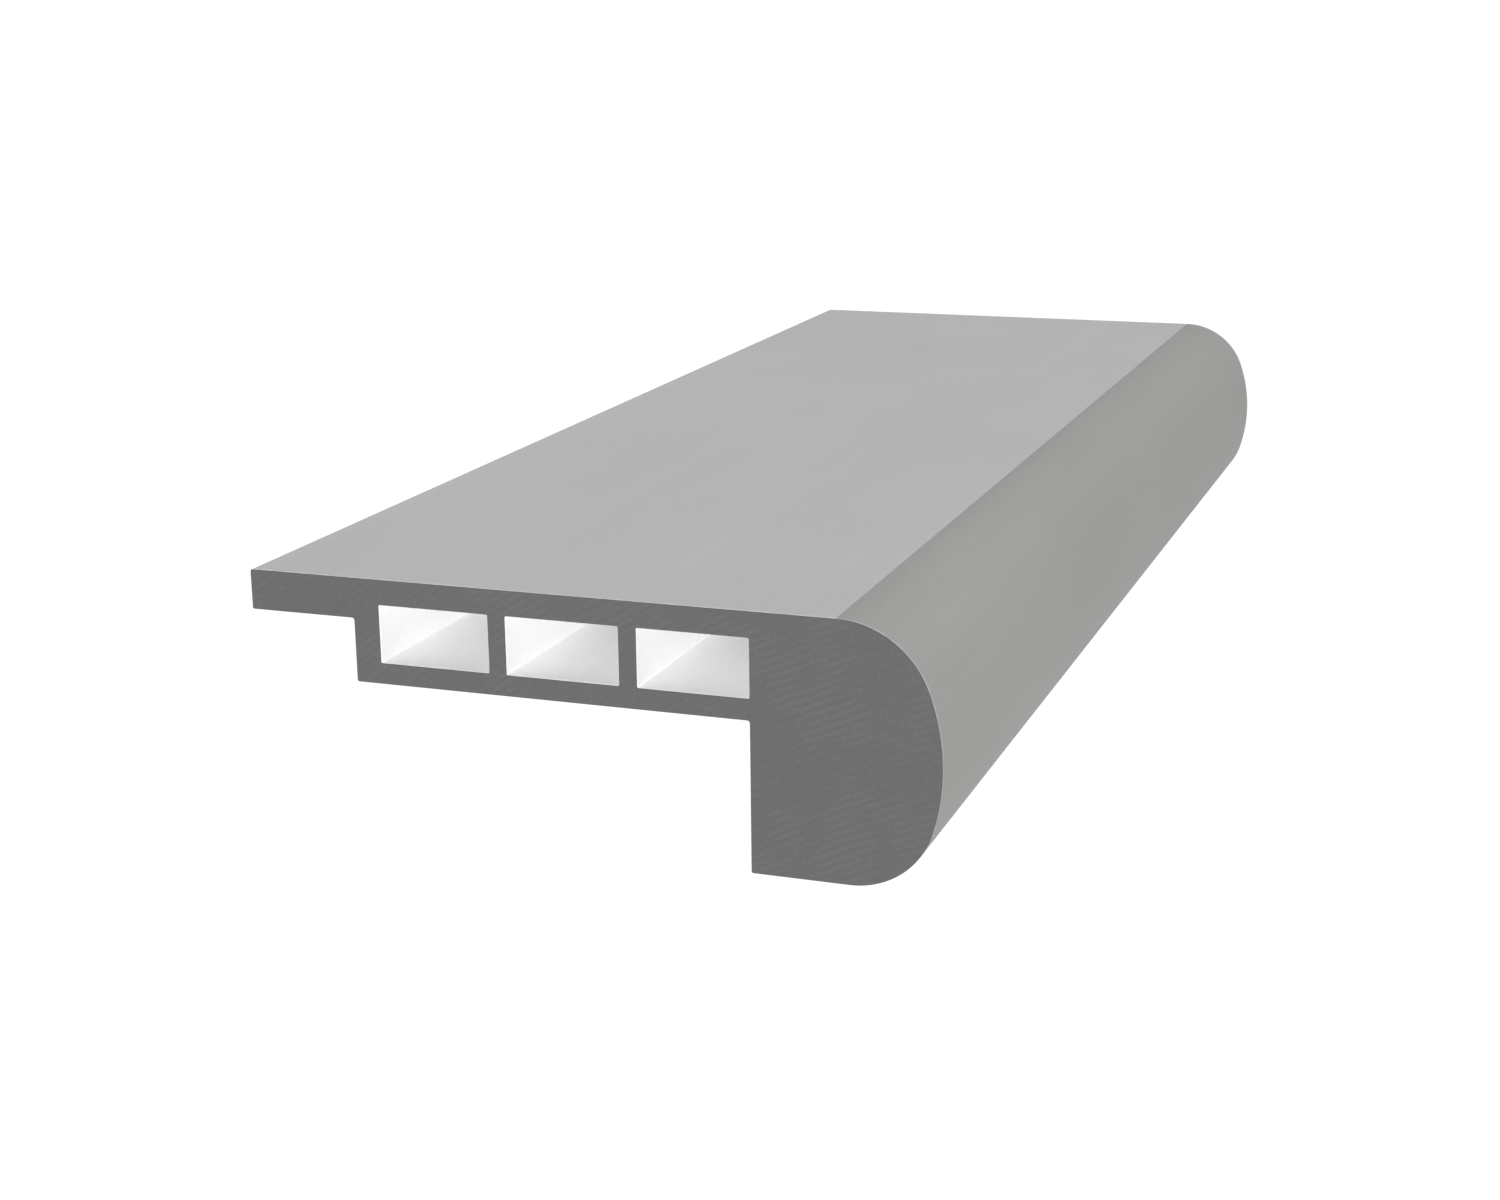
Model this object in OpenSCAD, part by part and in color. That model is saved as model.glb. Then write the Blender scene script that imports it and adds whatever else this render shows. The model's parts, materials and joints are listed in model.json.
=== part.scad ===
// Overlap stair nosing, a cut length of one hollow extruded profile.
// Millimetres. The section is drawn as it is fitted on the stair, with the lip's back edge at x = 0,
// the tread face at y = 0 and the nose towards +x. The finished piece has its length along X and
// its nose towards -Y, and it leans back on its heel and its box edge as it does on a level floor.

/* [Piece] */
// Cut length
length = 183.5; // [20:0.5:3000]

/* [Lip over the floor covering] */
// Overhang of the lip behind the hollow box
lip_overhang = 11.2; // [4:0.1:40]
// Thickness of the lip
lip_thickness = 4; // [3:0.1:8]
// Depth of the box under the lip, which is the room for the floor covering
box_drop = 6.4; // [4:0.1:20]

/* [Hollow box] */
// Number of cells side by side
cell_count = 3; // [1:1:8]
// Width of each cell except the front one
cell_width = 11.55; // [4:0.05:30]
// Width of the front cell, which ends in line with the heel
front_cell_width = 11.1; // [4:0.05:30]
// Wall between two cells
web = 1.8; // [1:0.1:5]
// Wall behind the rear cell
back_wall = 2.7; // [1:0.1:8]
// Wall between the cells and the tread face
roof_wall = 2.5; // [1:0.1:4]
// Wall under the cells
floor_wall = 2.1; // [1:0.1:2.5]

/* [Nose] */
// Drop of the heel below the box
nose_drop = 14.9; // [11:0.1:24]
// Depth of the nose from the heel to its front
nose_depth = 18.3; // [15:0.1:40]
// Radius from the tread face into the front
top_radius = 9.3; // [4:0.1:11]
// Radius of the crowned front
front_radius = 20.8; // [16:0.1:36]
// Radius from the front into the underside
bottom_radius = 8.2; // [4:0.1:10]
// Depth of the foremost line below the tread face
crown_depth = 13.4; // [12:0.1:16]

/* [Edges] */
// Radius on the outer edges
edge_radius = 0.2; // [0.1:0.05:1]
// Radius in the two inner corners
root_radius = 0.25; // [0.1:0.05:1.5]
// Radius in the corners of the cells
cell_radius = 0.15; // [0.1:0.05:1.5]

/* [Hidden] */
$fn = 96;

// Overlap that one arc of the nose has past the next, in millimetres and in degrees
arc_lap = 0.002;
arc_pass = 6;

// Main lines of the section
box_bottom = -(lip_thickness + box_drop);
nose_bottom = box_bottom - nose_drop;
cell_top = -roof_wall;
cell_bottom = box_bottom + floor_wall;
cell_pitch = cell_width + web;
heel = lip_overhang + back_wall + (cell_count - 1) * cell_pitch + front_cell_width;
front = heel + nose_depth;

// Centres of the three arcs of the nose, each small arc lying against the crowned front
front_centre = [front - front_radius, -crown_depth];
top_span = front_radius - top_radius + arc_lap;
top_rise = crown_depth - top_radius;
top_centre = [front_centre[0] + sqrt(top_span * top_span - top_rise * top_rise), -top_radius];
bottom_span = front_radius - bottom_radius + arc_lap;
bottom_fall = nose_bottom + bottom_radius + crown_depth;
bottom_centre = [
  front_centre[0] + sqrt(bottom_span * bottom_span - bottom_fall * bottom_fall),
  nose_bottom + bottom_radius
];
top_angle = atan2(top_centre[1] - front_centre[1], top_centre[0] - front_centre[0]);
bottom_angle = atan2(bottom_centre[1] - front_centre[1], bottom_centre[0] - front_centre[0]);

// How the piece lies on a floor: it tips back until the box edge touches beside the heel
rest_tilt = atan2(nose_drop, heel - lip_overhang);
floor_level = (heel + edge_radius) * sin(rest_tilt)
  + (nose_bottom + edge_radius) * cos(rest_tilt) - edge_radius;
back_reach = edge_radius * (cos(rest_tilt) + sin(rest_tilt)) - edge_radius;
nose_centre = rest_tilt < -bottom_angle ? front_centre : bottom_centre;
nose_radius = rest_tilt < -bottom_angle ? front_radius : bottom_radius;
nose_reach = nose_centre[0] * cos(rest_tilt) - nose_centre[1] * sin(rest_tilt) + nose_radius;

// The point at a distance r and an angle a from c
function polar(c, r, a) = [c[0] + r * cos(a), c[1] + r * sin(a)];

// A slice of a disc between two angles
module slice(c, r, a0, a1) {
  intersection() {
    translate(c) circle(r);
    polygon([c, polar(c, 2 * r, a0), polar(c, 3 * r, (a0 + a1) / 2), polar(c, 2 * r, a1)]);
  }
}

// The crowned front, as far in as the centres of the arcs above and below it
module crown() {
  intersection() {
    translate(front_centre) circle(front_radius);
    polygon([
      bottom_centre, polar(front_centre, 2 * front_radius, bottom_angle),
      polar(front_centre, 2 * front_radius, top_angle), top_centre
    ]);
  }
}

// The rounding of a square edge: a quarter disc, sx and sy being the way from p into its centre
module quarter(p, r, sx, sy) {
  a = sx > 0 ? (sy > 0 ? 180 : 90) : (sy > 0 ? 270 : 0);
  slice([p[0] + sx * r, p[1] + sy * r], r, a, a + 90);
}

// One cell with rounded corners
module cell(x0, x1) {
  r = cell_radius;
  polygon([
    [x0 + r, cell_bottom], [x1 - r, cell_bottom], [x1, cell_bottom + r], [x1, cell_top - r],
    [x1 - r, cell_top], [x0 + r, cell_top], [x0, cell_top - r], [x0, cell_bottom + r]
  ]);
  quarter([x0, cell_bottom], r, 1, 1);
  quarter([x1, cell_bottom], r, -1, 1);
  quarter([x1, cell_top], r, -1, -1);
  quarter([x0, cell_top], r, 1, -1);
}

// The solid outline, straight walls first and then every rounding
module outline() {
  e = edge_radius;
  k = root_radius;
  difference() {
    union() {
      polygon([
        [top_centre[0], 0], [e, 0], [0, -e], [0, e - lip_thickness], [e, -lip_thickness],
        [lip_overhang - k, -lip_thickness], [lip_overhang, -lip_thickness - k],
        [lip_overhang, box_bottom + e], [lip_overhang + e, box_bottom],
        [heel - k, box_bottom], [heel, box_bottom - k],
        [heel, nose_bottom + e], [heel + e, nose_bottom], [bottom_centre[0], nose_bottom],
        polar(bottom_centre, bottom_radius / 2, -45), polar(top_centre, top_radius / 2, 45)
      ]);
      slice(top_centre, top_radius, top_angle - arc_pass, 90);
      crown();
      slice(bottom_centre, bottom_radius, -90, bottom_angle + arc_pass);
      quarter([0, 0], e, 1, -1);
      quarter([0, -lip_thickness], e, 1, 1);
      quarter([lip_overhang, box_bottom], e, 1, 1);
      quarter([heel, nose_bottom], e, 1, 1);
    }
    quarter([lip_overhang, -lip_thickness], k, -1, -1);
    quarter([heel, box_bottom], k, -1, -1);
  }
}

// The section with its row of cells
module section() {
  difference() {
    outline();
    for (i = [0 : cell_count - 1]) {
      x0 = lip_overhang + back_wall + i * cell_pitch;
      cell(x0, x0 + (i < cell_count - 1 ? cell_width : front_cell_width));
    }
  }
}

module stair_nosing() {
  color([0.71, 0.71, 0.71])
    rotate([90, 0, -90])
      translate([-(back_reach + nose_reach) / 2, -floor_level, 0])
        rotate([0, 0, rest_tilt])
          linear_extrude(height = length, center = true)
            section();
}

stair_nosing();
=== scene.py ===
"""Looks of a cut length of hollow extruded stair nosing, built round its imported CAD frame.

Lengths are metres. The section is drawn as it is fitted on a stair, with X along the length, the nose
towards -Y and the tread face at Z = 0, and is then laid in the frame as the CAD piece lies.
"""
import json
import math

import bmesh
import bpy
from mathutils import Matrix, Vector


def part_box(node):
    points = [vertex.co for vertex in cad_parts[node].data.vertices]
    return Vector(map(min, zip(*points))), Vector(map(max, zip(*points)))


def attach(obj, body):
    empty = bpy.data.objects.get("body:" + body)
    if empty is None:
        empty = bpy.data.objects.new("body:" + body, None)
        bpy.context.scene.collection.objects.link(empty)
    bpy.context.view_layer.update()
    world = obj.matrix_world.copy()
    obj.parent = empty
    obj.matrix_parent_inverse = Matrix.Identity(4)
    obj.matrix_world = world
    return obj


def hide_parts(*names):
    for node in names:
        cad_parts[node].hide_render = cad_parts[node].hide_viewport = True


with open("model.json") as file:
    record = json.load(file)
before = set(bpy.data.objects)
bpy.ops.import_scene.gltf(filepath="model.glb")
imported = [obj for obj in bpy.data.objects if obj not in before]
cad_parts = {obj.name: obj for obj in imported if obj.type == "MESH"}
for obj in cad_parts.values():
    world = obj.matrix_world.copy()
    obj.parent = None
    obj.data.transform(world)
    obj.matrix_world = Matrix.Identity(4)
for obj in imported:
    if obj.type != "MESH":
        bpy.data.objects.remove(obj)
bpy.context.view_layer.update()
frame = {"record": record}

bl_info = {
    "name": "Stair nosing",
    "version": (1, 0, 0),
    "blender": (4, 5, 0),
    "location": "3D View > Sidebar > Nosing",
    "description": "Builds a cut length of hollow stair nosing, its finishes and a plain stage",
    "category": "Add Mesh",
}

NODE = "stair_nosing"
BODY = "root"
PIECE = "nosing_profile"
MM = 0.001
QUARTER = math.pi / 2
NODE_LOW, NODE_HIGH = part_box(NODE)
MOUNTS = {m["name"]: m for m in frame["record"]["mounts"]}


def length_prop(name, description, millimetres):
    """A length that a user can change, stored in metres."""
    return bpy.props.FloatProperty(
        name=name,
        description=description,
        default=millimetres * MM,
        unit="LENGTH",
        precision=5,
    )


def colour_prop(name, description, default):
    """A linear colour that a user can change."""
    return bpy.props.FloatVectorProperty(
        name=name,
        description=description,
        default=default,
        size=3,
        min=0.0,
        max=1.0,
        subtype="COLOR",
    )


def share_prop(name, description, default):
    """A share from 0 to 1."""
    return bpy.props.FloatProperty(
        name=name,
        description=description,
        default=default,
        min=0.0,
        max=1.0,
        subtype="FACTOR",
    )


def angle_prop(name, description, degrees):
    """An angle that a user can change, stored in radians."""
    return bpy.props.FloatProperty(
        name=name,
        description=description,
        default=math.radians(degrees),
        subtype="ANGLE",
    )


def strength_prop(name, description, default):
    """A strength of light, where 1 shows as white."""
    return bpy.props.FloatProperty(name=name, description=description, default=default, min=0.0)


def power_prop(name, description, watts):
    """The power of a lamp."""
    return bpy.props.FloatProperty(
        name=name,
        description=description,
        default=watts,
        min=0.0,
        unit="POWER",
    )


def optics_prop(name, description, millimetres):
    """A measure of the camera, which Blender keeps in millimetres."""
    return bpy.props.FloatProperty(
        name=name,
        description=description,
        default=millimetres,
        unit="CAMERA",
    )


class NosingSizes(bpy.types.PropertyGroup):
    """Sizes of the section, the same as in the part's source."""

    length: length_prop("Length", "Cut length of the piece", (NODE_HIGH.x - NODE_LOW.x) / MM)
    lip_overhang: length_prop("Lip overhang", "Overhang of the lip behind the hollow box", 11.2)
    lip_thickness: length_prop("Lip thickness", "Thickness of the lip", 4.0)
    box_drop: length_prop("Box drop", "Depth of the hollow box under the lip", 6.4)
    cell_count: bpy.props.IntProperty(name="Cells", description="Cells side by side", default=3, min=1)
    cell_width: length_prop("Cell width", "Width of each cell except the front one", 11.55)
    front_cell_width: length_prop("Front cell width", "Width of the cell beside the nose", 11.1)
    web: length_prop("Web", "Wall between two cells", 1.8)
    back_wall: length_prop("Back wall", "Wall behind the rear cell", 2.7)
    roof_wall: length_prop("Roof wall", "Wall between the cells and the tread face", 2.5)
    floor_wall: length_prop("Floor wall", "Wall under the cells", 2.1)
    nose_drop: length_prop("Nose drop", "Drop of the heel below the box", 14.9)
    nose_depth: length_prop("Nose depth", "Depth of the nose from heel to front", 18.3)
    top_radius: length_prop("Top radius", "Radius from the tread face into the front", 9.3)
    front_radius: length_prop("Front radius", "Radius of the crowned front", 20.8)
    bottom_radius: length_prop("Bottom radius", "Radius from the front into the underside", 8.2)
    crown_depth: length_prop("Crown depth", "Depth of the foremost line below the tread face", 13.4)
    edge_radius: length_prop("Edge radius", "Radius on the outer edges", 0.2)
    root_radius: length_prop("Root radius", "Radius in the two inner corners", 0.25)
    cell_radius: length_prop("Cell radius", "Radius in the corners of the cells", 0.15)
    saw_arris: length_prop("Saw arris", "Rounding that deburring leaves round the sawn ends", 0.08)
    curve_step: angle_prop("Curve step", "Angle between two rows of faces on the nose", 2.0)
    edge_step: angle_prop("Edge step", "Angle between two rows of faces on a small edge", 15.0)


class NosingFinish(bpy.types.PropertyGroup):
    """Colours and surface of the extruded skin and the sawn ends. The tread grey is lightened and the
    nose grey darkened as painted light and painted shade on one skin, the sawn grey is a dark core with
    painted shade, and the cells' pale grey is painted light.
    """

    # Painted light and painted shade: tread face and nose are one skin, the tread in a lighter grey as if
    # lit from above and the nose in a darker grey as if shaded, stepping at the crease.
    tread: colour_prop("Tread face", "Skin on the tread face, lightened as painted light", (0.506, 0.506, 0.506))
    nose: colour_prop("Nose", "Skin on the rounded nose, darkened as painted shade", (0.3355, 0.3355, 0.328))
    # The sawn grey is partly the core's own darker colour and partly painted shade, set darker to offset
    # the light that falls on the near end.
    sawn: colour_prop("Sawn end", "Core that the saw lays open, darker with painted shade", (0.0537, 0.053, 0.0537))
    # Painted light: the cells' pale grey is a lighter copy of the grey skin, standing in for light inside
    # the hollows.
    cell: colour_prop("Cells", "Skin inside the cells, pale as painted light", (0.864, 0.864, 0.864))
    back: colour_prop("Back", "Skin on the underside and the heel", (0.42, 0.42, 0.42))
    tread_roughness: share_prop("Tread roughness", "Roughness of the tread face", 0.62)
    nose_roughness: share_prop("Nose roughness", "Roughness of the nose", 0.68)
    sawn_roughness: share_prop("Sawn roughness", "Roughness of the sawn ends", 0.85)
    cell_roughness: share_prop("Cell roughness", "Roughness inside the cells", 0.6)
    back_roughness: share_prop("Back roughness", "Roughness of the underside", 0.66)
    hairline: length_prop("Hairlines", "Spacing of the finest die lines", 0.19)
    die_band: length_prop("Die bands", "Spacing of the broad die lines", 1.4)
    grain: length_prop("Grain", "Size of the matt grain", 0.28)
    drift: length_prop("Drift", "Size of the soft drifts of tone", 22.0)
    skin_relief: length_prop("Skin relief", "Depth of the die lines and the grain", 0.03)
    rub_width: length_prop("Rub width", "Widest rub on the skin beside a sawn end", 1.1)
    tooth_pitch: length_prop("Tooth pitch", "Spacing of the marks that the saw's teeth leave", 0.75)
    tooth_patch: length_prop("Tooth patches", "Size of the patches where the marks show", 6.2)
    speck: length_prop("Specks", "Spacing of the specks of filler in the core", 0.67)
    sawn_relief: length_prop("Sawn relief", "Depth of the saw's marks", 0.05)


class NosingStage(bpy.types.PropertyGroup):
    """Floor, light and camera."""

    floor_radius: length_prop("Floor radius", "Radius of the floor", 8000.0)
    floor_level: strength_prop("Floor light", "Strength of the floor as a light on the piece", 0.93)
    world_strength: strength_prop("Surround", "Strength of the even white surround", 0.12)
    front_power: power_prop("Front light", "Power of the soft box that looks into the near end", 556.0)
    front_distance: length_prop("Front distance", "Front light from the near end", 5000.0)
    front_size: length_prop("Front size", "Side of the front light", 400.0)
    front_heading: angle_prop("Front heading", "Turn of the front light towards the lip", 14.0)
    front_dip: angle_prop("Front dip", "Downward tilt of the front light to the tread face", 8.8)
    top_power: power_prop("Top light", "Power of the soft box square over the tread face", 8.1)
    top_distance: length_prop("Top distance", "Top light from the floor under the piece", 1200.0)
    top_shift: length_prop("Top shift", "Top light from the middle towards the far end", 250.0)
    top_size: length_prop("Top size", "Side of the top light", 1000.0)
    far_power: power_prop("Far light", "Power of the small soft box in line with the far end", 4.5)
    far_distance: length_prop("Far distance", "Far light from the far end", 500.0)
    far_size: length_prop("Far size", "Side of the far light, which tread and nose can't see", 16.0)
    lens: optics_prop("Lens", "Focal length", 56.84)
    sensor: optics_prop("Sensor", "Width of the sensor", 36.0)
    camera_before_end: length_prop("Before the end", "Camera ahead of the near sawn end", 193.92)
    camera_depth: length_prop("Camera depth", "Camera forward of the lip's back edge", 122.39)
    camera_height: length_prop("Camera height", "Camera above the tread face", 56.93)
    camera_heading: angle_prop("Heading", "Turn of the view from the length towards the lip", 19.98)
    camera_dip: angle_prop("Dip", "Downward tilt of the view to the tread face", 15.14)
    camera_roll: angle_prop("Roll", "Turn of the camera about its view", -0.67)


# Section of the profile

# Points nearer than this are one place
TOUCH = 0.02 * MM
# Decimals of a metre that tell two places apart in a sorted list
PLACE_DECIMALS = 6
# Faces that meet at a sharper angle than this keep their edge
SHARP = math.radians(40.0)
# A face is sawn where its normal leans this much to the ends, and is the flat of an end past the second
SAWN_LEAN = 0.2
FLAT_LEAN = 0.99
SKINS = ("tread", "nose", "sawn", "cell", "back")


def heel_depth(s):
    """Depth of the heel from the lip's back edge."""
    pitch = s.cell_width + s.web
    return s.lip_overhang + s.back_wall + (s.cell_count - 1) * pitch + s.front_cell_width


def box_bottom(s):
    """Height of the box's underside, below the tread face."""
    return -(s.lip_thickness + s.box_drop)


def nose_bottom(s):
    """Height of the nose's foot, below the tread face."""
    return box_bottom(s) - s.nose_drop


def nose_arcs(s):
    """Centres of the nose's front, top and low arcs, and the angles where they meet.

    A centre is a depth and a height.
    """
    crown = Vector((heel_depth(s) + s.nose_depth - s.front_radius, -s.crown_depth))
    top_span = s.front_radius - s.top_radius
    top_rise = s.crown_depth - s.top_radius
    top = Vector((crown.x + math.sqrt(top_span**2 - top_rise**2), -s.top_radius))
    low_span = s.front_radius - s.bottom_radius
    low_fall = nose_bottom(s) + s.bottom_radius + s.crown_depth
    low = Vector((crown.x + math.sqrt(low_span**2 - low_fall**2), nose_bottom(s) + s.bottom_radius))
    up = math.atan2(top.y - crown.y, top.x - crown.x)
    down = math.atan2(low.y - crown.y, low.x - crown.x)
    return crown, top, low, up, down


def section_to_frame(s):
    """Matrix that lays the section as the CAD piece lies, from the two faces that seat it on the step."""
    seat = MOUNTS["tread_seat"]
    stop = MOUNTS["step_edge_stop"]
    down = Vector(seat["axis"]).normalized()
    back = Vector(stop["axis"]).normalized()
    seat_at = Vector(seat["pos_m"])
    corner = seat_at - back * (seat_at - Vector(stop["pos_m"])).dot(back)
    origin = corner + back * heel_depth(s) + down * box_bottom(s)
    along = back.cross(-down)
    turn = Matrix((along, back, -down)).transposed().to_4x4()
    return Matrix.Translation(origin) @ turn


def section_tilt():
    """Angle about X by which the piece leans back, as its seating face says."""
    down = Vector(MOUNTS["tread_seat"]["axis"])
    return math.atan2(-down.y, -down.z)


def outline_corners(s):
    """Corners of the outer loop, from the crease round the nose and back along the tread face."""
    crown, top, low, up, down = nose_arcs(s)
    heel, under, foot = heel_depth(s), box_bottom(s), nose_bottom(s)
    lip, e, k = s.lip_overhang, s.edge_radius, s.root_radius
    curve, small = s.curve_step, s.edge_step
    return [
        (top.x, top.y, s.top_radius, QUARTER, QUARTER - up, curve),
        (crown.x, crown.y, s.front_radius, math.pi - up, up - down, curve),
        (low.x, low.y, s.bottom_radius, math.pi - down, QUARTER + down, curve),
        (heel + e, foot + e, e, 3 * QUARTER, QUARTER, small),
        (heel - k, under - k, k, math.pi, -QUARTER, small),
        (lip + e, under + e, e, 3 * QUARTER, QUARTER, small),
        (lip - k, -s.lip_thickness - k, k, math.pi, -QUARTER, small),
        (e, e - s.lip_thickness, e, 3 * QUARTER, QUARTER, small),
        (e, -e, e, 0.0, QUARTER, small),
    ]


def cell_corners(s, index):
    """Corners of one cell's loop, the cells being counted from the rear."""
    r, small = s.cell_radius, s.edge_step
    rear = s.lip_overhang + s.back_wall + index * (s.cell_width + s.web)
    width = s.cell_width if index < s.cell_count - 1 else s.front_cell_width
    low, high = box_bottom(s) + s.floor_wall + r, -s.roof_wall - r
    return [
        (rear + r, high, r, 0.0, QUARTER, small),
        (rear + width - r, high, r, QUARTER, QUARTER, small),
        (rear + width - r, low, r, 2 * QUARTER, QUARTER, small),
        (rear + r, low, r, 3 * QUARTER, QUARTER, small),
    ]


def trace(bm, at_x, corners):
    """Draws a closed loop through rounded corners: a straight run to each, then a spin round its centre.

    A corner is its centre's depth and height, its radius, its first and its swept angle, and the angle
    of one face. The angles count from the lip side upwards.
    """
    first = last = None
    for depth, height, radius, start, sweep, step in corners:
        centre = Vector((at_x, -depth, height))
        begin = centre + radius * Vector((0.0, math.cos(start), math.sin(start)))
        if first is None:
            first = last = bm.verts.new(begin)
        elif (begin - last.co).length > TOUCH:
            run = bmesh.ops.extrude_vert_indiv(bm, verts=[last])
            bmesh.ops.translate(bm, verts=run["verts"], vec=begin - last.co)
            last = run["verts"][0]
        spun = bmesh.ops.spin(
            bm,
            geom=[last],
            cent=centre,
            axis=(1.0, 0.0, 0.0),
            angle=sweep,
            steps=max(1, round(abs(sweep) / step)),
        )
        last = next(e for e in spun["geom_last"] if isinstance(e, bmesh.types.BMVert))
    bm.edges.new((last, first))


def extruded_section(s):
    """The level section filled between its loops and drawn out, short of the arris at both ends."""
    bm = bmesh.new()
    start = -s.length / 2 + s.saw_arris
    trace(bm, start, outline_corners(s))
    for index in range(s.cell_count):
        trace(bm, start, cell_corners(s, index))
    bmesh.ops.triangle_fill(bm, use_beauty=True, edges=bm.edges[:])
    if not bm.faces:
        raise RuntimeError("the section could not be filled")
    run = bmesh.ops.extrude_face_region(bm, geom=bm.faces[:])
    moved = [e for e in run["geom"] if isinstance(e, bmesh.types.BMVert)]
    bmesh.ops.translate(bm, verts=moved, vec=(s.length - 2 * s.saw_arris, 0.0, 0.0))
    bmesh.ops.recalc_face_normals(bm, faces=bm.faces[:])
    return bm


def round_sawn_ends(bm, arris):
    """Two insets that carry each end out to its full length over a small round arris."""
    eighth = math.sqrt(0.5)
    for inward, outward in ((1.0 - eighth, eighth), (eighth, 1.0 - eighth)):
        ends = [f for f in bm.faces if abs(f.normal.x) > FLAT_LEAN]
        bmesh.ops.inset_region(
            bm,
            faces=ends,
            use_boundary=True,
            use_even_offset=True,
            thickness=inward * arris,
            depth=outward * arris,
        )
    bm.normal_update()


def spot(point):
    """A place to the micrometre, to sort by."""
    return [round(c, PLACE_DECIMALS) for c in point]


def put_in_order(listed, place):
    """Lists vertices or faces by place, because the operators' own order changes from run to run."""
    ranks = {element: rank for rank, element in enumerate(sorted(listed, key=place))}
    listed.sort(key=ranks.get)
    listed.index_update()


def skin_of(s, face):
    """Which finish a face of the level section gets."""
    at, normal = face.calc_center_median(), face.normal
    depth, height = -at.y, at.z
    crease = nose_arcs(s)[1].x
    if abs(normal.x) > SAWN_LEAN:
        return "sawn"
    beside_cells = s.lip_overhang + s.back_wall / 2 < depth < heel_depth(s) + TOUCH
    if beside_cells and box_bottom(s) + s.floor_wall - TOUCH < height < -s.roof_wall + TOUCH:
        return "cell"
    # The crease splits the one skin into the lighter tread grey and the darker nose grey, a step of
    # painted shade.
    if depth > crease or height < nose_bottom(s) + TOUCH:
        return "nose"
    if height > -s.lip_thickness and (normal.z > 0.0 or depth < TOUCH):
        return "tread"
    return "back"


# Nodes

# A noise texture stays mostly between these two values
NOISE_LOW, NOISE_HIGH = 0.3, 0.7
# Finer layers in a noise texture, and the strength of each against the one before
NOISE_LAYERS = 2.0
NOISE_FADE = 0.6
# Spacing of a wave texture's rings at a scale of one
RING_SPACING = math.pi / 10


def group(name, inputs, outputs):
    """An empty shader node group with named sockets, and its in and out nodes."""
    tree = bpy.data.node_groups.new(name, "ShaderNodeTree")
    for label, kind in inputs:
        tree.interface.new_socket(label, in_out="INPUT", socket_type=kind)
    for label, kind in outputs:
        tree.interface.new_socket(label, in_out="OUTPUT", socket_type=kind)
    return tree, tree.nodes.new("NodeGroupInput"), tree.nodes.new("NodeGroupOutput")


def node(tree, kind, values=None, **settings):
    """A node with its settings, and its inputs by name, each given a number or a linked socket."""
    made = tree.nodes.new(kind)
    for key, value in settings.items():
        setattr(made, key, value)
    for key, value in (values or {}).items():
        if isinstance(value, bpy.types.NodeSocket):
            tree.links.new(value, made.inputs[key])
        else:
            made.inputs[key].default_value = value
    return made


def maths(tree, operation, a, b=0.0):
    """A Math node; an input is a socket or a number."""
    return node(tree, "ShaderNodeMath", {0: a, 1: b}, operation=operation).outputs[0]


def ranged(tree, value, low, high):
    """A smooth mask that rises from 0 to 1 as a value goes from low to high."""
    values = {"Value": value, "From Min": low, "From Max": high}
    return node(tree, "ShaderNodeMapRange", values, interpolation_type="SMOOTHSTEP").outputs["Result"]


def fine_noise(tree, vector, size, along=1.0):
    """Noise of one feature size, drawn out along the length by a factor."""
    drawn = node(tree, "ShaderNodeMapping", {"Vector": vector, "Scale": (1.0 / along, 1.0, 1.0)})
    values = {
        "Vector": drawn.outputs["Vector"],
        "Scale": 1.0 / size,
        "Detail": NOISE_LAYERS,
        "Roughness": NOISE_FADE,
    }
    return node(tree, "ShaderNodeTexNoise", values).outputs["Fac"]


def noise_mask(tree, noise):
    """A noise spread over the whole range of a mask."""
    return ranged(tree, noise, NOISE_LOW, NOISE_HIGH)


def mixed_masks(tree, first, second, share):
    """Two masks mixed into one, the second by its share."""
    values = {"Factor": share, "A": first, "B": second}
    return node(tree, "ShaderNodeMix", values, data_type="FLOAT").outputs["Result"]


def swung(tree, colour, mask, swing):
    """A colour that a mask takes from darker to lighter by a share of itself."""
    dark = [c * (1.0 - swing) for c in colour]
    light = [min(1.0, c * (1.0 + swing)) for c in colour]
    values = {"Factor": mask, "A": (*dark, 1.0), "B": (*light, 1.0)}
    return node(tree, "ShaderNodeMix", values, data_type="RGBA").outputs["Result"]


def overlaid(tree, base, colour, mask):
    """A second colour laid over a first by a mask."""
    values = {"Factor": mask, "A": base, "B": (*colour, 1.0)}
    return node(tree, "ShaderNodeMix", values, data_type="RGBA").outputs["Result"]


def blended(tree, mask, first, second):
    """Two shaders mixed by a mask."""
    mix = node(tree, "ShaderNodeMixShader", {0: mask, 1: first, 2: second})
    return mix.outputs["Shader"]


# Surface effects that the finishes share

# How much longer than wide the die's lines and the drifts of tone are
HAIRLINE_RUN = 83.0
BAND_RUN = 125.0
DRIFT_RUN = 2.0
# Share of the broad lines among all of the die's lines
BROAD_SHARE = 0.45
# Soft edge of a rub
RUB_EDGE = 0.4 * MM
# Centre of the saw blade below and before the piece, as it comes up through the end
BLADE_CENTRE = (0.0, -100.0 * MM, -160.0 * MM)
# Waver of the arcs that the teeth leave, and how fast it changes
ARC_WAVER = 1.6
WAVER_SCALE = 0.6
# Distances from a speck's middle where it is gone and where it is whole, as shares of the spacing
SPECK_GONE = 0.32
SPECK_WHOLE = 0.12


def die_line_group(look):
    """Fine lines that the die draws along the length, broad and hairline ones together."""
    tree, ins, outs = group(
        "Die lines",
        [("Section", "NodeSocketVector")],
        [("Lines", "NodeSocketFloat"), ("Bands", "NodeSocketFloat")],
    )
    where = ins.outputs["Section"]
    hair = fine_noise(tree, where, look.hairline, HAIRLINE_RUN)
    broad = fine_noise(tree, where, look.die_band, BAND_RUN)
    both = mixed_masks(tree, hair, broad, BROAD_SHARE)
    tree.links.new(noise_mask(tree, both), outs.inputs["Lines"])
    tree.links.new(noise_mask(tree, broad), outs.inputs["Bands"])
    return tree


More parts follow.
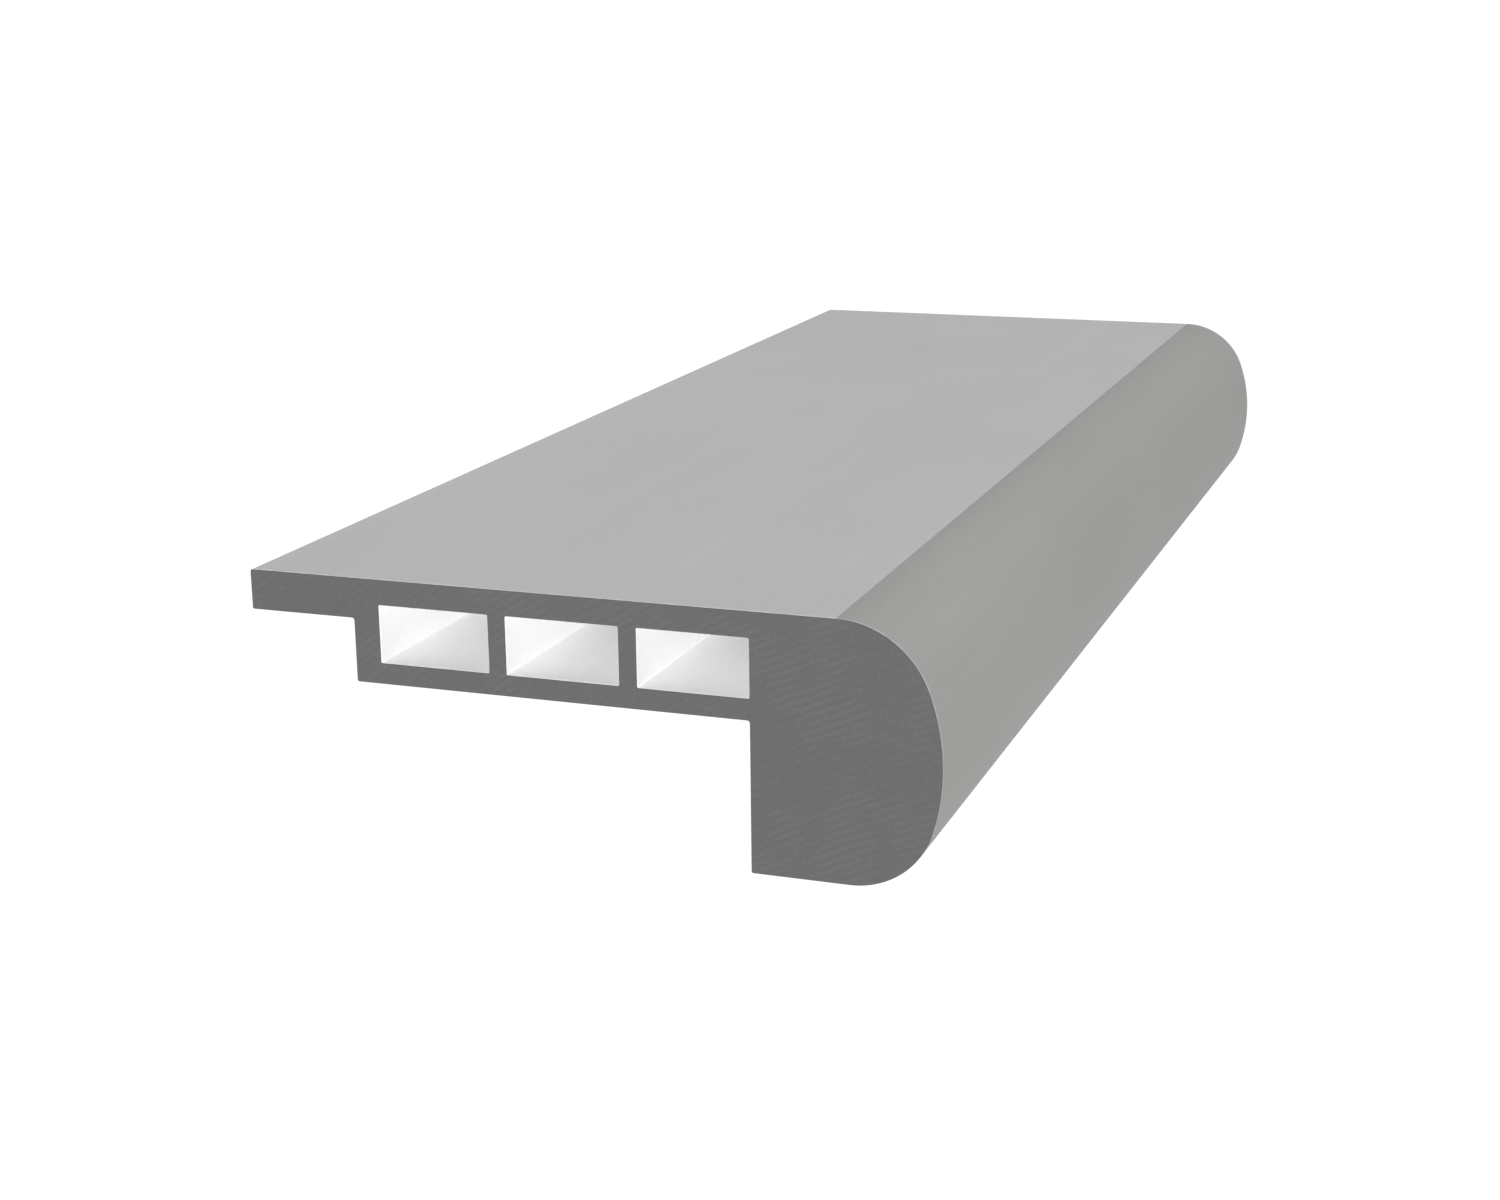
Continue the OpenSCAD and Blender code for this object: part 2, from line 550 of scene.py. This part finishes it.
def grain_group(look):
    """Fine matt grain, and soft drifts of tone."""
    tree, ins, outs = group(
        "Matt grain",
        [("Section", "NodeSocketVector")],
        [("Grain", "NodeSocketFloat"), ("Drift", "NodeSocketFloat")],
    )
    where = ins.outputs["Section"]
    grain = fine_noise(tree, where, look.grain)
    drift = fine_noise(tree, where, look.drift, DRIFT_RUN)
    tree.links.new(noise_mask(tree, grain), outs.inputs["Grain"])
    tree.links.new(noise_mask(tree, drift), outs.inputs["Drift"])
    return tree


def end_wear_group(look):
    """Rubbed band on the skin beside the sawn ends, broken up by noise."""
    tree, ins, outs = group(
        "End wear",
        [("Section", "NodeSocketVector"), ("Half length", "NodeSocketFloat")],
        [("Wear", "NodeSocketFloat")],
    )
    where = ins.outputs["Section"]
    split = node(tree, "ShaderNodeSeparateXYZ", {"Vector": where})
    from_middle = maths(tree, "ABSOLUTE", split.outputs["X"])
    from_end = maths(tree, "SUBTRACT", ins.outputs["Half length"], from_middle)
    reach = maths(tree, "MULTIPLY", fine_noise(tree, where, look.rub_width), look.rub_width)
    inside = maths(tree, "SUBTRACT", reach, from_end)
    tree.links.new(ranged(tree, inside, 0.0, RUB_EDGE), outs.inputs["Wear"])
    return tree


def saw_group(look):
    """Marks of a saw across an end: shallow arcs of the teeth in patches, and specks of filler."""
    tree, ins, outs = group(
        "Saw marks",
        [("Section", "NodeSocketVector")],
        [("Marks", "NodeSocketFloat"), ("Specks", "NodeSocketFloat")],
    )
    where = ins.outputs["Section"]
    blade = node(tree, "ShaderNodeMapping", {"Vector": where, "Location": [-c for c in BLADE_CENTRE]})
    arcs = node(
        tree,
        "ShaderNodeTexWave",
        {
            "Vector": blade.outputs["Vector"],
            "Scale": RING_SPACING / look.tooth_pitch,
            "Distortion": ARC_WAVER,
            "Detail Scale": WAVER_SCALE,
        },
        wave_type="RINGS",
        rings_direction="X",
    )
    patches = noise_mask(tree, fine_noise(tree, where, look.tooth_patch))
    specks = node(tree, "ShaderNodeTexVoronoi", {"Vector": where, "Scale": 1.0 / look.speck})
    near_speck = ranged(tree, specks.outputs["Distance"], SPECK_GONE, SPECK_WHOLE)
    tree.links.new(maths(tree, "MULTIPLY", arcs.outputs["Fac"], patches), outs.inputs["Marks"])
    tree.links.new(near_speck, outs.inputs["Specks"])
    return tree


# Finishes

# Specular levels
SKIN_GLOSS = 0.35
CORE_GLOSS = 0.2
# Share by which a pattern lightens and darkens its colour
SKIN_SWING = 0.03
CORE_SWING = 0.05
# Span of roughness between dull and smooth die bands, and off the crests of the saw's marks
BAND_SHEEN = 0.06
MARK_SHEEN = 0.12
# Gain and haze of a rubbed skin, and gain and share of a speck
RUB_GAIN = 1.22
RUB_HAZE = 0.02
SPECK_GAIN = 1.5
SPECK_SHARE = 0.2
# Share of the drifts in a skin's tone, and of the fine grain in a pattern that it joins
DRIFT_SHARE = 0.5
GRAIN_SHARE = 0.4
# How far a relief turns the light
RELIEF_STRENGTH = 0.5


def new_material(name):
    """A material with a Principled shader, and a vector that is level with the section."""
    material = bpy.data.materials.new(name)
    material.use_nodes = True
    tree = material.node_tree
    place = node(tree, "ShaderNodeTexCoord")
    values = {"Vector": place.outputs["Object"], "Rotation": (section_tilt(), 0.0, 0.0)}
    level = node(tree, "ShaderNodeMapping", values)
    return material, tree, tree.nodes["Principled BSDF"], level.outputs["Vector"]


def placed(tree, shared, vector):
    """One shared effect placed in a material on the section's coordinates."""
    return node(tree, "ShaderNodeGroup", {"Section": vector}, node_tree=shared)


def relieved(tree, shader, height, depth):
    """A relief of one depth on a shader."""
    values = {"Height": height, "Distance": depth, "Strength": RELIEF_STRENGTH}
    made = node(tree, "ShaderNodeBump", values)
    tree.links.new(made.outputs["Normal"], shader.inputs["Normal"])


def skin_material(name, colour, roughness, effects, s, look):
    """Extruded skin: die lines along the length, a matt grain, drifts of tone and rubbed ends."""
    material, tree, shader, where = new_material(name)
    shader.inputs["Specular IOR Level"].default_value = SKIN_GLOSS
    lines = placed(tree, effects["lines"], where)
    grain = placed(tree, effects["grain"], where)
    wear = placed(tree, effects["wear"], where)
    wear.inputs["Half length"].default_value = s.length / 2
    tone = mixed_masks(tree, lines.outputs["Lines"], grain.outputs["Drift"], DRIFT_SHARE)
    rubbed = [min(1.0, c * RUB_GAIN + RUB_HAZE) for c in colour]
    base = overlaid(tree, swung(tree, colour, tone, SKIN_SWING), rubbed, wear.outputs["Wear"])
    tree.links.new(base, shader.inputs["Base Color"])
    dulled = maths(tree, "MULTIPLY", lines.outputs["Bands"], BAND_SHEEN)
    tree.links.new(maths(tree, "ADD", dulled, roughness - BAND_SHEEN / 2), shader.inputs["Roughness"])
    relief = mixed_masks(tree, lines.outputs["Lines"], grain.outputs["Grain"], GRAIN_SHARE)
    relieved(tree, shader, relief, look.skin_relief)
    return material


def sawn_material(name, colour, roughness, effects, look):
    """Core that a saw laid open: blade marks, fine specks of filler and a dull, dry surface."""
    material, tree, shader, where = new_material(name)
    shader.inputs["Specular IOR Level"].default_value = CORE_GLOSS
    saw = placed(tree, effects["saw"], where)
    grain = placed(tree, effects["grain"], where)
    relief = mixed_masks(tree, saw.outputs["Marks"], grain.outputs["Grain"], GRAIN_SHARE)
    speck = [c * SPECK_GAIN for c in colour]
    faint = maths(tree, "MULTIPLY", saw.outputs["Specks"], SPECK_SHARE)
    base = overlaid(tree, swung(tree, colour, relief, CORE_SWING), speck, faint)
    tree.links.new(base, shader.inputs["Base Color"])
    smoothed = maths(tree, "MULTIPLY", saw.outputs["Marks"], MARK_SHEEN)
    tree.links.new(maths(tree, "SUBTRACT", roughness, smoothed), shader.inputs["Roughness"])
    relieved(tree, shader, relief, look.sawn_relief)
    return material


def finish_materials(s, look):
    """One material for each finish, in the order of SKINS."""
    effects = {
        "lines": die_line_group(look),
        "grain": grain_group(look),
        "wear": end_wear_group(look),
        "saw": saw_group(look),
    }
    made = {
        # The tread and nose skins differ only by painted light and painted shade.
        "tread": skin_material("Tread skin painted light", look.tread, look.tread_roughness, effects, s, look),
        "nose": skin_material("Nose skin painted shade", look.nose, look.nose_roughness, effects, s, look),
        # The sawn core's grey is partly its own dark core and partly painted shade.
        "sawn": sawn_material("Sawn core with painted shade", look.sawn, look.sawn_roughness, effects, look),
        # The cell skin's pale grey is painted light in the hollows.
        "cell": skin_material("Cell skin painted light", look.cell, look.cell_roughness, effects, s, look),
        "back": skin_material("Back skin", look.back, look.back_roughness, effects, s, look),
    }
    return [made[skin] for skin in SKINS]


class NOSING_OT_profile(bpy.types.Operator):
    """Build the nosing's profile with its skins and sawn ends"""

    bl_idname = "nosing.profile"
    bl_label = "Nosing profile"

    def execute(self, context):
        s, look = context.scene.nosing_sizes, context.scene.nosing_finish
        bm = extruded_section(s)
        round_sawn_ends(bm, s.saw_arris)
        put_in_order(bm.verts, lambda vertex: spot(vertex.co))
        put_in_order(bm.faces, lambda face: spot(face.calc_center_median()))
        for face in bm.faces:
            face.material_index = SKINS.index(skin_of(s, face))
            face.smooth = True
        bmesh.ops.transform(bm, matrix=section_to_frame(s), verts=bm.verts[:])
        mesh = bpy.data.meshes.new(PIECE)
        bm.to_mesh(mesh)
        bm.free()
        mesh.set_sharp_from_angle(angle=SHARP)
        for material in finish_materials(s, look):
            mesh.materials.append(material)
        piece = bpy.data.objects.new(PIECE, mesh)
        context.scene.collection.objects.link(piece)
        weighted = piece.modifiers.new("Flat faces stay flat", "WEIGHTED_NORMAL")
        weighted.keep_sharp = True
        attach(piece, BODY)
        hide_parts(NODE)
        return {"FINISHED"}


# Stage

FLOOR_SIDES = 96
WHITE = (1.0, 1.0, 1.0, 1.0)
# Strength of the white that the camera sees on the floor and behind it, just past full white
BACKDROP = 1.05
# Nearest thing that the camera shows
CLIP_START = 10.0 * MM


def paper_material(stage):
    """White paper over a light table, which lights more softly than it looks and is clear from below."""
    material = bpy.data.materials.new("Floor paper")
    material.use_nodes = True
    tree = material.node_tree
    tree.nodes.remove(tree.nodes["Principled BSDF"])
    lit = node(tree, "ShaderNodeEmission", {"Color": WHITE, "Strength": stage.floor_level})
    seen = node(tree, "ShaderNodeEmission", {"Color": WHITE, "Strength": BACKDROP})
    clear = node(tree, "ShaderNodeBsdfTransparent")
    path = node(tree, "ShaderNodeLightPath")
    sides = node(tree, "ShaderNodeNewGeometry")
    even = blended(tree, path.outputs["Is Camera Ray"], lit.outputs[0], seen.outputs[0])
    one_sided = blended(tree, sides.outputs["Backfacing"], even, clear.outputs[0])
    tree.links.new(one_sided, tree.nodes["Material Output"].inputs["Surface"])
    return material


def sight_line(heading, dip):
    """Direction in the section along the length, turned towards the lip and dipped to the tread."""
    level = math.cos(dip)
    return Vector((level * math.cos(heading), level * math.sin(heading), -math.sin(dip)))


def soft_box(name, scene, place, target, size, power):
    """A square area light that faces a target, and doesn't show itself."""
    data = bpy.data.lights.new(name, "AREA")
    data.shape = "SQUARE"
    data.size = size
    data.energy = power
    light = bpy.data.objects.new(name, data)
    scene.collection.objects.link(light)
    light.visible_camera = False
    light.location = place
    light.rotation_euler = (target - place).to_track_quat("-Z", "Y").to_euler()


class NOSING_OT_stage(bpy.types.Operator):
    """Lay the floor and set the light and the camera"""

    bl_idname = "nosing.stage"
    bl_label = "Stage"

    def execute(self, context):
        scene = context.scene
        s, stage = scene.nosing_sizes, scene.nosing_stage
        lay = section_to_frame(s)
        self.floor(scene, stage)
        self.surround(scene, stage)
        self.light(scene, s, stage, lay)
        self.camera(scene, s, stage, lay)
        return {"FINISHED"}

    def floor(self, scene, stage):
        """A wide plain disc under the piece."""
        bm = bmesh.new()
        bmesh.ops.create_circle(bm, cap_ends=True, radius=stage.floor_radius, segments=FLOOR_SIDES)
        mesh = bpy.data.meshes.new("floor")
        bm.to_mesh(mesh)
        bm.free()
        mesh.materials.append(paper_material(stage))
        floor = bpy.data.objects.new("floor", mesh)
        scene.collection.objects.link(floor)

    def surround(self, scene, stage):
        """An even white world, which lights more softly than the white that the camera sees."""
        world = bpy.data.worlds.new("Studio")
        world.use_nodes = True
        tree = world.node_tree
        lit = tree.nodes["Background"]
        seen = node(tree, "ShaderNodeBackground")
        for backdrop, strength in ((lit, stage.world_strength), (seen, BACKDROP)):
            backdrop.inputs["Color"].default_value = WHITE
            backdrop.inputs["Strength"].default_value = strength
        path = node(tree, "ShaderNodeLightPath")
        even = blended(tree, path.outputs["Is Camera Ray"], lit.outputs[0], seen.outputs[0])
        tree.links.new(even, tree.nodes["World Output"].inputs["Surface"])
        scene.world = world

    def light(self, scene, s, stage, lay):
        """Soft boxes that look into the near end, square down on the tread face and at the far end."""
        turn = lay.to_3x3()
        near_end = lay @ Vector((-s.length / 2, -heel_depth(s), box_bottom(s)))
        far_end = lay @ Vector((s.length / 2, -heel_depth(s), box_bottom(s)))
        aim = turn @ sight_line(stage.front_heading, stage.front_dip)
        front = near_end - aim * stage.front_distance
        soft_box("front_box", scene, front, near_end, stage.front_size, stage.front_power)
        under = Vector((0.0, 0.0, 0.0))
        over = turn @ Vector((stage.top_shift, 0.0, stage.top_distance))
        soft_box("top_box", scene, over, under, stage.top_size, stage.top_power)
        beyond = far_end + turn @ Vector((stage.far_distance, 0.0, 0.0))
        soft_box("far_box", scene, beyond, far_end, stage.far_size, stage.far_power)
        scene.view_settings.view_transform = "Standard"
        scene.view_settings.look = "None"

    def camera(self, scene, s, stage, lay):
        """The camera keeps its place to the section, whichever way the piece lies."""
        roll = stage.camera_roll
        ahead = sight_line(stage.camera_heading, stage.camera_dip)
        level = ahead.cross(Vector((0.0, 0.0, 1.0))).normalized()
        right = level * math.cos(roll) + level.cross(ahead) * math.sin(roll)
        turn = Matrix((right, right.cross(ahead), -ahead)).transposed().to_4x4()
        before = -s.length / 2 - stage.camera_before_end
        place = Vector((before, -stage.camera_depth, stage.camera_height))
        data = bpy.data.cameras.new("camera")
        data.sensor_width = stage.sensor
        data.lens = stage.lens
        data.clip_start = CLIP_START
        camera = bpy.data.objects.new("camera", data)
        scene.collection.objects.link(camera)
        camera.matrix_world = lay @ Matrix.Translation(place) @ turn
        scene.camera = camera


class NOSING_PT_panel(bpy.types.Panel):
    """Sizes, finishes and steps of the nosing"""

    bl_label = "Stair nosing"
    bl_idname = "NOSING_PT_panel"
    bl_space_type = "VIEW_3D"
    bl_region_type = "UI"
    bl_category = "Nosing"

    def draw(self, context):
        scene, layout = context.scene, self.layout
        for title, store in (
            ("Section", scene.nosing_sizes),
            ("Finish", scene.nosing_finish),
            ("Stage", scene.nosing_stage),
        ):
            box = layout.box()
            box.label(text=title)
            for key in store.bl_rna.properties.keys():
                if key not in {"rna_type", "name"}:
                    box.prop(store, key)
        layout.operator(NOSING_OT_profile.bl_idname)
        layout.operator(NOSING_OT_stage.bl_idname)


CLASSES = (
    NosingSizes,
    NosingFinish,
    NosingStage,
    NOSING_OT_profile,
    NOSING_OT_stage,
    NOSING_PT_panel,
)


def register():
    for cls in CLASSES:
        bpy.utils.register_class(cls)
    bpy.types.Scene.nosing_sizes = bpy.props.PointerProperty(type=NosingSizes)
    bpy.types.Scene.nosing_finish = bpy.props.PointerProperty(type=NosingFinish)
    bpy.types.Scene.nosing_stage = bpy.props.PointerProperty(type=NosingStage)


def unregister():
    del bpy.types.Scene.nosing_stage
    del bpy.types.Scene.nosing_finish
    del bpy.types.Scene.nosing_sizes
    for cls in reversed(CLASSES):
        bpy.utils.unregister_class(cls)


def main():
    register()
    bpy.ops.nosing.profile()
    bpy.ops.nosing.stage()


if __name__ == "__main__":
    main()
